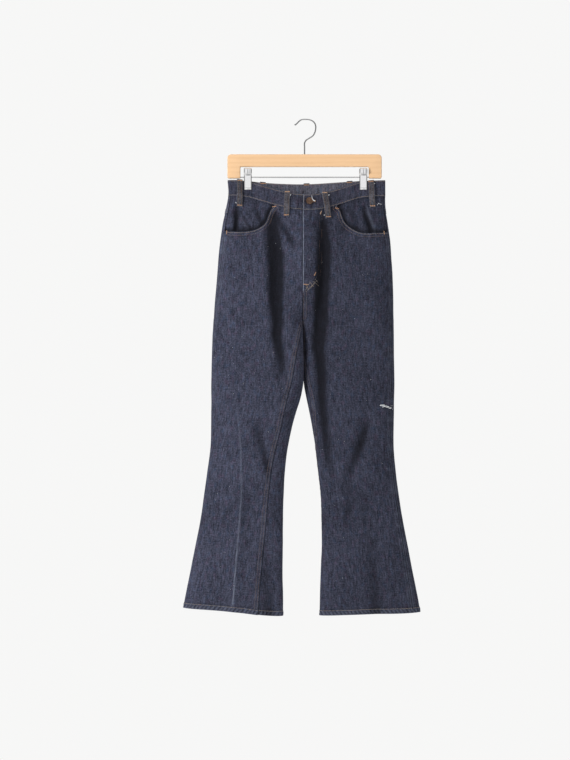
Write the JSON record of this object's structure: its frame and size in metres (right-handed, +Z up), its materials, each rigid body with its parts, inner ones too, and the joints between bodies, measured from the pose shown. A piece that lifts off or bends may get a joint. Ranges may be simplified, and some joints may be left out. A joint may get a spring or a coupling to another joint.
{
  "type": "bootcut jeans on a clip hanger",
  "caption": "Dark indigo bootcut jeans with flared hems, hanging by the waistband from the metal clips of a wooden trouser hanger.",
  "frame": {"origin": "inside top of the hook's crook, where the hanger hangs", "axes": "+Z up, -Y out of the front of the jeans, +X to the wearer's left, which is the right of a viewer who faces the front"},
  "size_m": [0.5661, 0.0762, 1.1926],
  "materials": {
    "denim_front_right": "dark indigo denim, twill, matt",
    "denim_facing_right": "dark indigo denim, twill, matt",
    "denim_yoke_right": "dark indigo denim, twill, matt",
    "denim_back_right": "dark indigo denim, twill, matt",
    "denim_pocket_right": "dark indigo denim, twill, matt",
    "denim_front_left": "dark indigo denim, twill, matt",
    "denim_facing_left": "dark indigo denim, twill, matt",
    "denim_yoke_left": "dark indigo denim, twill, matt",
    "denim_back_left": "dark indigo denim, twill, matt",
    "denim_pocket_left": "dark indigo denim, twill, matt",
    "denim_waistband": "dark indigo denim, twill, matt",
    "denim_belt_loop_side_right": "dark indigo denim, folded strip",
    "denim_belt_loop_front_right": "dark indigo denim, folded strip",
    "denim_belt_loop_front_left": "dark indigo denim, folded strip",
    "denim_belt_loop_side_left": "dark indigo denim, folded strip",
    "denim_belt_loop_back_right": "dark indigo denim, folded strip",
    "denim_belt_loop_back_centre": "dark indigo denim, folded strip",
    "denim_belt_loop_back_left": "dark indigo denim, folded strip",
    "copper": "aged copper",
    "beech": "pale beech, satin lacquer",
    "rod_steel": "bright drawn steel",
    "hook_chrome": "bright plated wire",
    "clip_chrome_right_front": "bright plate",
    "clip_chrome_right_back": "bright plate",
    "spring_steel_right": "spring steel",
    "clip_chrome_left_front": "bright plate",
    "clip_chrome_left_back": "bright plate",
    "spring_steel_left": "spring steel"
  },
  "bodies": {
    "root": {"front_panel_right": "denim_front_right", "pocket_facing_right": "denim_facing_right", "yoke_right": "denim_yoke_right", "back_panel_right": "denim_back_right", "back_pocket_right": "denim_pocket_right", "front_panel_left": "denim_front_left", "pocket_facing_left": "denim_facing_left", "yoke_left": "denim_yoke_left", "back_panel_left": "denim_back_left", "back_pocket_left": "denim_pocket_left", "waistband": "denim_waistband", "belt_loop_side_right": "denim_belt_loop_side_right", "belt_loop_front_right": "denim_belt_loop_front_right", "belt_loop_front_left": "denim_belt_loop_front_left", "belt_loop_side_left": "denim_belt_loop_side_left", "belt_loop_back_right": "denim_belt_loop_back_right", "belt_loop_back_centre": "denim_belt_loop_back_centre", "belt_loop_back_left": "denim_belt_loop_back_left", "waist_button": "copper", "hanger_bar": "beech", "hanger_rod": "rod_steel", "hanger_hook": "hook_chrome", "clip_right_front": "clip_chrome_right_front", "clip_right_back": "clip_chrome_right_back", "clip_right_spring": "spring_steel_right", "clip_left_front": "clip_chrome_left_front", "clip_left_back": "clip_chrome_left_back", "clip_left_spring": "spring_steel_left"}
  },
  "joints": []
}
